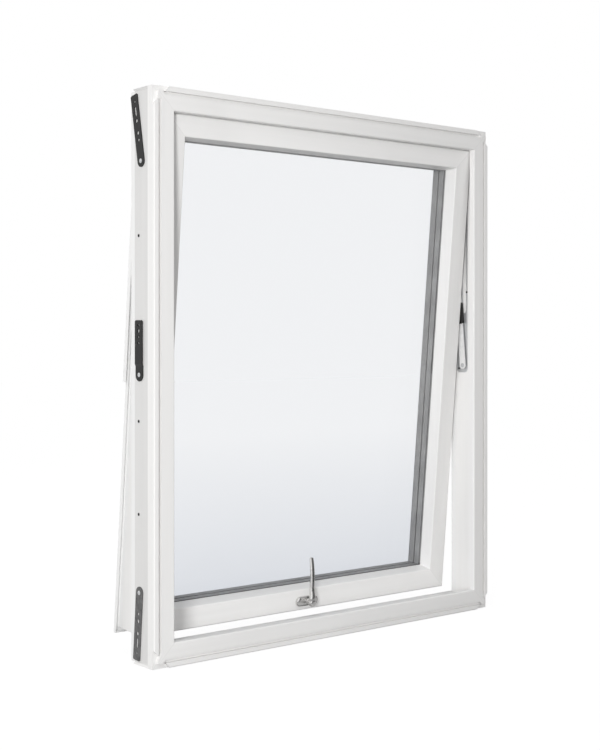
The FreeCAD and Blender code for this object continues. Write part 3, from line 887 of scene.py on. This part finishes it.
@dataclass
class FixedFrame:
    """Timber frame, its cladding, its seal and the fixing straps.

    Each row of strap_screws names the strap, and gives the screw's depth behind the room face and its
    height in millimetres.
    """

    finishes: Finishes
    seal_radius: float = 2.0 * MM
    seal_steps: int = 13
    strap_screw_radius: float = 4.6 * MM
    strap_thickness: float = 2.0 * MM
    strap_screws: tuple = (("top", 53.0, 1038.0), ("middle", 59.5, 598.0), ("bottom", 59.5, 149.0))
    plug_radius: float = 3.2 * MM
    plug_heights: tuple[float, ...] = (0.885, 0.502, 0.310)
    plug_behind_face: float = 64.0 * MM

    def dress(self) -> None:
        """Gives every frame node its finish."""
        for side in Side:
            name = side.name.lower()
            dress(frame["nodes"][f"{name}_jamb"], self.finishes.jamb_paint)
            dress(frame["nodes"][f"{name}_jamb_cladding"], self.finishes.coat)
            for place, steel in (("top", "dark_steel"), ("middle", "dark_steel"), ("bottom", "grey_steel")):
                dress(frame["nodes"][f"{name}_{place}_strap"], getattr(self.finishes, steel))
        for name in ("head", "sill"):
            dress(frame["nodes"][name], self.finishes.rail_paint)
            dress(frame["nodes"][f"{name}_cladding"], self.finishes.coat)

    def build(self) -> None:
        """Builds the seal round the stop and the screws in the jambs' outer sides."""
        self.build_seal()
        for side in Side:
            self.build_side_screws(side)

    def build_seal(self) -> None:
        """Bulb seal: a half round bead with a flat root, carried round the back of the stop."""
        low, high = (np.array(corner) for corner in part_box("stop_gasket"))
        angle = np.linspace(-0.5 * math.pi, 0.5 * math.pi, self.seal_steps)
        depth = float(high[1] - low[1])
        radius = self.seal_radius
        bulb = radius * np.stack((1.0 + np.sin(angle), np.cos(angle)), axis=-1)
        bulb[:, 1] += depth - radius
        root = np.array(((1.5, 0.0), (0.5, 0.0))) * radius
        corner = Local(low, np.array((1.0, 0, 0)), np.array((0, 0, 1.0)), np.array((0, 1.0, 0)))
        width, height = high[0] - low[0], high[2] - low[2]
        seal = ring_bead("stop_seal", corner, width, height, np.concatenate((bulb, root)))
        mount_piece(seal, "frame", self.finishes.rubber)
        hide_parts("stop_gasket")

    def build_side_screws(self, side: Side) -> None:
        """Builds the screws that hold the straps, and the small ones in the channel, on one jamb.

        Args:
            side: Side of the jamb.
        """
        name = side.name.lower()
        out = np.array((float(side.value), 0.0, 0.0))
        across, up = np.array((0.0, 1.0, 0.0)), np.array((0.0, 0.0, 1.0))
        low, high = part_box(f"{name}_top_strap")
        floor = (high if side is Side.RIGHT else low).x
        room_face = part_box(f"{name}_jamb")[0].y
        strap_head = ScrewHead(self.strap_screw_radius, Drive.CROSS)
        channel_head = ScrewHead(self.plug_radius, Drive.STAR)
        for place, depth, height in self.strap_screws:
            seat = Local(np.array((floor, room_face + depth * MM, height * MM)), across, up, out)
            screw = strap_head.build(f"{name}_{place}_strap_screw", seat)
            mount_piece(screw, "frame", self.finishes.zinc)
        for number, height in enumerate(self.plug_heights, 1):
            channel_floor = floor - side.value * self.strap_thickness
            at = np.array((channel_floor, room_face + self.plug_behind_face, height))
            seat = Local(at, across, up, out)
            plug = channel_head.build(f"{name}_channel_screw_{number}", seat)
            mount_piece(plug, "frame", self.finishes.dark_steel)


@dataclass
class SwingGear:
    """Arms, tracks, plates and brake blocks in the side gaps.

    Each row of screws gives the depth behind the room face and the height in millimetres.
    """

    finishes: Finishes
    rivet_radius: float = 5.5 * MM
    rivet_height: float = 0.9 * MM
    rivet_rim: float = 0.3 * MM
    rivet_ring: int = 32
    track_inset: float = 4.5 * MM
    screw_radius: float = 2.6 * MM
    screws: tuple = ((67.0, 597.0), (41.0, 788.0), (67.0, 905.0), (41.0, 1010.0), (67.0, 1120.0))

    def dress(self) -> None:
        """Gives every gear node its finish."""
        for side in Side:
            name = side.name.lower()
            for piece in ("hinge_track", "sash_plate"):
                dress(frame["nodes"][f"{name}_{piece}"], self.finishes.zinc)
            dress(frame["nodes"][f"{name}_arm"], self.finishes.bright_zinc)
            for piece in ("brake_block", "guide_shoe"):
                dress(frame["nodes"][f"{name}_{piece}"], self.finishes.plastic)

    def build(self) -> None:
        """Builds the domed rivet heads on the four pins, and the screws of the tracks."""
        across, up = np.array((0.0, 1.0, 0.0)), np.array((0.0, 0.0, 1.0))
        frame_pin = np.array(joint_named("left_arm_swing")["pos_m"])
        sash_pin = np.array(joint_named("sash_swing")["pos_m"])
        room_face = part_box("left_jamb")[0].y
        track_head = ScrewHead(self.screw_radius, Drive.CROSS)
        for side in Side:
            name = side.name.lower()
            low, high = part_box(f"{name}_arm")
            inner, outer = (low.x, high.x) if side is Side.RIGHT else (high.x, low.x)
            ends = (("frame", frame_pin, inner, -side.value), ("sash", sash_pin, outer, side.value))
            for body, pin, plane, way in ends:
                seat = Local(np.array((plane, *pin[1:])), across, up, np.array((float(way), 0.0, 0.0)))
                profile = dome_profile(self.rivet_radius, self.rivet_height, self.rivet_rim)
                rivet = turned(f"{name}_{body}_rivet", seat, profile, self.rivet_ring)
                mount_piece(rivet, body, self.finishes.zinc)
            plane = side.value * (abs(frame_pin[0]) + self.track_inset)
            inwards = np.array((-float(side.value), 0.0, 0.0))
            for number, (depth, height) in enumerate(self.screws, 1):
                seat = Local(np.array((plane, room_face + depth * MM, height * MM)), across, up, inwards)
                screw = track_head.build(f"{name}_track_screw_{number}", seat)
                mount_piece(screw, "frame", self.finishes.dark_steel)


@dataclass
class Sash:
    """Timber sash, its cladding, the glass unit and its seals."""

    finishes: Finishes

    def dress(self) -> None:
        """Gives every sash node its finish."""
        paints = {
            "sash_left_stile": self.finishes.sash_stile_paint,
            "sash_right_stile": self.finishes.sash_stile_paint,
            "sash_top_rail": self.finishes.sash_rail_paint,
            "sash_bottom_rail": self.finishes.sash_rail_paint,
        }
        for name, paint in paints.items():
            dress(frame["nodes"][name], paint)
            dress(frame["nodes"][f"{name}_cladding"], self.finishes.coat)
        for side in Side:
            dress(frame["nodes"][f"{side.name.lower()}_cover_strip"], self.finishes.coat)
        for name in ("inner_spacer", "outer_spacer"):
            dress(frame["nodes"][name], self.finishes.spacer)
        for name in ("inner_pane", "middle_pane"):
            dress(frame["nodes"][name], self.finishes.glass)
        dress(frame["nodes"]["outer_pane"], self.finishes.tinted_glass)
        dress(frame["nodes"]["glazing_gasket"], self.finishes.grey_seal)
        dress(frame["nodes"]["lock_faceplate"], self.finishes.dark_steel)


@dataclass
class LeverHandle:
    """Oval rosette, neck, hub and grip of the lever, standing up.

    Each row of cushion_rows holds the inset as a share of half the width and the height as a share of
    the thickness. Each row of grip_rows holds the share of the length, and the stand-off, half width and
    half thickness in millimetres.
    """

    finishes: Finishes
    rosette_length: float = 64.0 * MM
    rosette_width: float = 23.0 * MM
    rosette_thickness: float = 8.0 * MM
    neck_radius: float = 7.0 * MM
    hub_radius: float = 9.0 * MM
    standoff: float = 23.0 * MM
    length: float = 104.0 * MM
    neck_clearance: float = 0.3 * MM
    cushion_rows: tuple = ((0.0, 0.0), (0.0, 0.4), (0.07, 0.68), (0.24, 0.89), (0.48, 0.98), (0.7, 1.0))
    grip_rows: tuple = (
        (0.00, 23.0, 8.3, 5.4),
        (0.12, 22.5, 8.0, 5.4),
        (0.27, 19.3, 6.5, 4.9),
        (0.40, 18.7, 6.1, 4.6),
        (0.55, 18.2, 6.0, 4.3),
        (0.75, 15.7, 5.9, 3.8),
        (0.92, 12.2, 5.7, 3.4),
        (0.985, 10.9, 4.6, 2.6),
        (1.00, 10.6, 2.2, 1.2),
    )
    grip_exponent: float = 2.4
    rosette_steps: int = 26
    half_turn_steps: int = 33
    spindle_steps: int = 60
    spindle_ring: int = 64
    grip_steps: int = 84
    grip_ring: int = 40

    def place(self) -> Local:
        """Foot of the handle's axis on the sash.

        Returns:
            The place, with out towards the room.
        """
        joint = joint_named("handle_turn")
        out = np.array(joint["axis"], float)
        across = np.array((1.0, 0.0, 0.0))
        return Local(np.array(joint["pos_m"]), across, np.cross(out, across), out)

    def build(self) -> None:
        """Builds the rosette on the sash, and the lever on its own body."""
        place = self.place()
        rosette = self.build_rosette(place)
        mount_piece(rosette, "sash", self.finishes.nickel)
        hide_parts("handle_rosette")
        grip = self.build_grip(place)
        mount_piece(grip, "handle", self.finishes.nickel)
        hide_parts("handle_lever")
        spindle = turned("lever_spindle", place, self.spindle_profile(), self.spindle_ring)
        mount_piece(spindle, "handle", self.finishes.nickel)

    def build_rosette(self, place: Local) -> bpy.types.Object:
        """Oval cushion: a slot-shaped outline that shrinks as it rises.

        A ring of inset i lies at (s c + (r - i) cos(u), (r - i) sin(u)), where r is half the width, c half
        the length less r, and s is 1 on the right half turn and -1 on the left one.

        Args:
            place: Foot of the handle's axis.

        Returns:
            The new closed piece.
        """
        rows = smooth_curve(np.array(self.cushion_rows), self.rosette_steps)
        radius = 0.5 * self.rosette_width
        half_turn = np.linspace(-0.5 * math.pi, 0.5 * math.pi, self.half_turn_steps)
        angle = np.concatenate((half_turn, half_turn + math.pi))[None, :]
        ends = np.repeat((1.0, -1.0), half_turn.size)[None, :] * (0.5 * self.rosette_length - radius)
        reach = radius * (1.0 - rows[:, :1])
        height = rows[:, 1:] * self.rosette_thickness + 0.0 * angle
        local = np.stack((ends + reach * np.cos(angle), reach * np.sin(angle), height), axis=-1)
        piece = grid_piece("lever_rosette", place.world(local), closed=False, capped=True)
        face_outwards(piece)
        return piece

    def spindle_profile(self) -> np.ndarray:
        """Section of the spindle: a waisted neck, then the hub with its domed front.

        Returns:
            Array of (radius, height) rows.
        """
        neck, hub, far = self.neck_radius, self.hub_radius, self.standoff
        knots = np.array(
            (
                (0.98 * neck, self.rosette_thickness + self.neck_clearance),
                (0.90 * neck, far - 12.0 * MM),
                (0.88 * neck, far - 9.5 * MM),
                (0.96 * neck, far - 7.5 * MM),
                (0.86 * hub, far - 5.8 * MM),
                (0.98 * hub, far - 3.5 * MM),
                (0.98 * hub, far + 1.5 * MM),
                (0.84 * hub, far + 4.6 * MM),
                (0.50 * hub, far + 5.7 * MM),
                (0.15 * hub, far + 5.9 * MM),
            )
        )
        return smooth_curve(knots, self.spindle_steps)

    def build_grip(self, place: Local) -> bpy.types.Object:
        """Grip: super-ellipse sections carried along a line in the upright plane.

        A smooth curve runs through the rows. With n the exponent, a section's point is the half width
        times cos(u)^(2/n) across and the half thickness times sin(u)^(2/n) out, signs kept.

        Args:
            place: Foot of the handle's axis.

        Returns:
            The new closed piece.
        """
        curve = smooth_curve(np.array(self.grip_rows), self.grip_steps)
        up, out = curve[:, :1] * self.length, curve[:, 1:2] * MM
        angle = np.linspace(0.0, FULL_TURN, self.grip_ring, endpoint=False)[None, :]
        cosine, sine = np.cos(angle), np.sin(angle)
        power = 2 / self.grip_exponent
        wide = np.sign(cosine) * np.abs(cosine) ** power * curve[:, 2:3] * MM
        deep = np.sign(sine) * np.abs(sine) ** power * curve[:, 3:4] * MM
        local = np.stack((wide, up + 0.0 * wide, out + deep), axis=-1)
        piece = grid_piece("lever_grip", place.world(local), closed=False, capped=True)
        face_outwards(piece)
        return piece


@dataclass(frozen=True)
class SoftLamp:
    """Soft lamp with a flat rectangular face, hidden from the camera and from mirrored or clear rays."""

    name: str
    place: tuple[float, float, float]
    target: tuple[float, float, float]
    size: tuple[float, float]
    power: float
    spread: float = 180.0

    def hang(self) -> None:
        """Adds the lamp at its place, turned towards its target."""
        data = bpy.data.lights.new(self.name, "AREA")
        data.shape = "RECTANGLE"
        data.size, data.size_y = self.size
        data.energy = self.power
        data.spread = math.radians(self.spread)
        lamp = bpy.data.objects.new(self.name, data)
        lamp.location = self.place
        lamp.visible_camera = False
        lamp.visible_glossy = False
        lamp.visible_transmission = False
        way = Vector(self.target) - Vector(self.place)
        lamp.rotation_euler = way.to_track_quat("-Z", "Y").to_euler()
        bpy.context.scene.collection.objects.link(lamp)


@dataclass
class Studio:
    """White studio: floor, soft lamps and the camera at the photograph's place."""

    image_height: float = 750.0
    focal_pixels: float = 1321.5
    axis_row: float = 339.5
    camera_place: tuple[float, float, float] = (-1.9602, -2.3015, 0.6777)
    azimuth: float = -39.337
    pitch: float = -0.144
    floor_reach: float = 14.0
    floor_drop: float = 0.6 * MM
    ambient: float = 0.70
    dark_side: float = 0.12
    dark_limits: Range = (-0.1, 0.5)
    lamps: tuple[SoftLamp, ...] = (
        SoftLamp("key_lamp", (-2.77, -2.34, 0.7), (-0.3, 0.0, 0.5), (0.6, 1.2), 74.0),
        SoftLamp("back_lamp", (-1.2, 2.5, 0.8), (0.3, 0.0, 0.5), (1.0, 1.0), 14.0),
        SoftLamp("side_lamp", (-0.35, -0.16, 0.64), (0.45, -0.14, 0.62), (0.2, 1.05), 0.36, 84.0),
    )

    def build(self) -> None:
        """Builds floor, world, lamps and camera."""
        self.build_floor()
        self.build_world()
        for lamp in self.lamps:
            lamp.hang()
        self.build_camera()

    def build_floor(self) -> None:
        """Flat square floor: a grid of two by two points just below the sill's underside."""
        reach = self.floor_reach
        side = np.array((-reach, reach))
        x, y = np.meshgrid(side, side)
        points = np.stack((x, y, np.full_like(x, -self.floor_drop)), axis=-1).reshape(-1, 3)
        mesh = bpy.data.meshes.new("floor")
        mesh.from_pydata(points, [], [(0, 1, 3, 2)])
        floor = bpy.data.objects.new("floor", mesh)
        bpy.context.scene.collection.objects.link(floor)
        dress(floor, PaleFloor("pale_floor").material())

    def build_world(self) -> None:
        """White surround: plain to the camera and through glass, softer as light, shaded in metal.

        A mirrored ray whose direction has the x value x sees a strength that falls smoothly from 1 at
        the left limit to the dark side's strength at the right limit.
        """
        world = bpy.data.worlds.new("studio")
        world.use_nodes = True
        graph = NodeGraph(world.node_tree)
        shade = world.node_tree.nodes["Background"]
        shade.inputs["Color"].default_value = (1.0, 1.0, 1.0, 1.0)
        rays = graph.add("LightPath").outputs
        plain = graph.math("MAXIMUM", rays["Is Camera Ray"], rays["Is Transmission Ray"])
        light = graph.between(plain, UNIT_RANGE, (self.ambient, 1.0))
        direction = graph.add("SeparateXYZ")
        graph.join(graph.add("TexCoord").outputs["Generated"], direction.inputs["Vector"])
        mirrored = graph.between(direction.outputs["X"], self.dark_limits, (1.0, self.dark_side))
        mirrored.interpolation_type = "SMOOTHSTEP"
        mix = graph.add("Mix")
        graph.join(graph.math("SUBTRACT", rays["Is Glossy Ray"], plain), mix.inputs[0])
        graph.join(light.outputs["Result"], mix.inputs[2])
        graph.join(mirrored.outputs["Result"], mix.inputs[3])
        graph.join(mix.outputs[0], shade.inputs["Strength"])
        bpy.context.scene.world = world

    def build_camera(self) -> None:
        """Camera with the photograph's place, turn, focal length and shift."""
        data = bpy.data.cameras.new("camera")
        data.lens = self.focal_pixels / self.image_height * data.sensor_width
        data.shift_y = (self.axis_row - self.image_height / 2) / self.image_height
        camera = bpy.data.objects.new("camera", data)
        camera.location = self.camera_place
        camera.rotation_euler = (math.radians(90.0 + self.pitch), 0.0, math.radians(self.azimuth))
        bpy.context.scene.collection.objects.link(camera)
        bpy.context.scene.camera = camera


def main() -> None:
    """Builds every part of the dressed window in order."""
    logging.basicConfig(level=logging.INFO, format="%(name)s %(message)s")
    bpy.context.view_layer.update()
    finishes = Finishes()
    for part in (FixedFrame(finishes), SwingGear(finishes)):
        part.dress()
        part.build()
    Sash(finishes).dress()
    LeverHandle(finishes).build()
    Studio().build()
    bpy.context.scene.view_settings.view_transform = "Standard"


if __name__ == "__main__":
    main()
